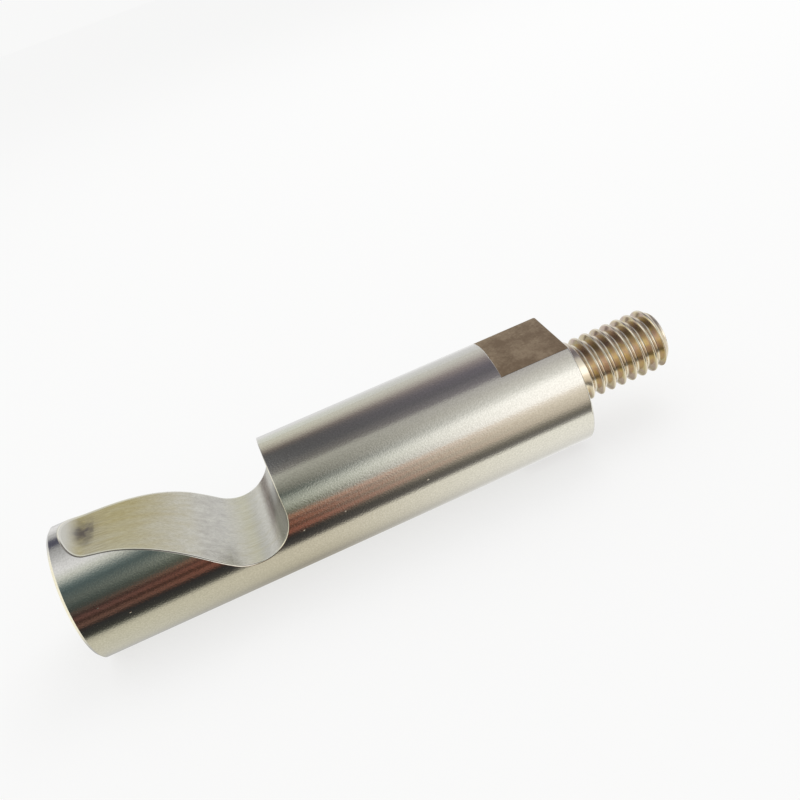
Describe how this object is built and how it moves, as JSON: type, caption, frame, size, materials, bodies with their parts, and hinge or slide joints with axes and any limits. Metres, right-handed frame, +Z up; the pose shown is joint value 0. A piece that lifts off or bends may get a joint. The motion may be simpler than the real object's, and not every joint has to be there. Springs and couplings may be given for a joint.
{
  "type": "saddle peg with threaded stud",
  "caption": "Round metal bar with a milled hook-like saddle near its plain end, spanner flats at its shoulder and a threaded stud on its axis.",
  "frame": {"origin": "on the bar's axis, in the shoulder face at the foot of the stud", "axes": "+X along the axis, from the plain end towards the stud; +Z up, out of the saddle; +Y completes the right-handed set"},
  "size_m": [0.0737, 0.0158, 0.0158],
  "materials": {
    "ground_steel": "satin ground stainless steel",
    "stud_steel": "bright machined stainless steel, slightly straw-tinted"
  },
  "bodies": {
    "root": {"shank": "ground_steel", "threaded_stud": "stud_steel"}
  },
  "joints": []
}
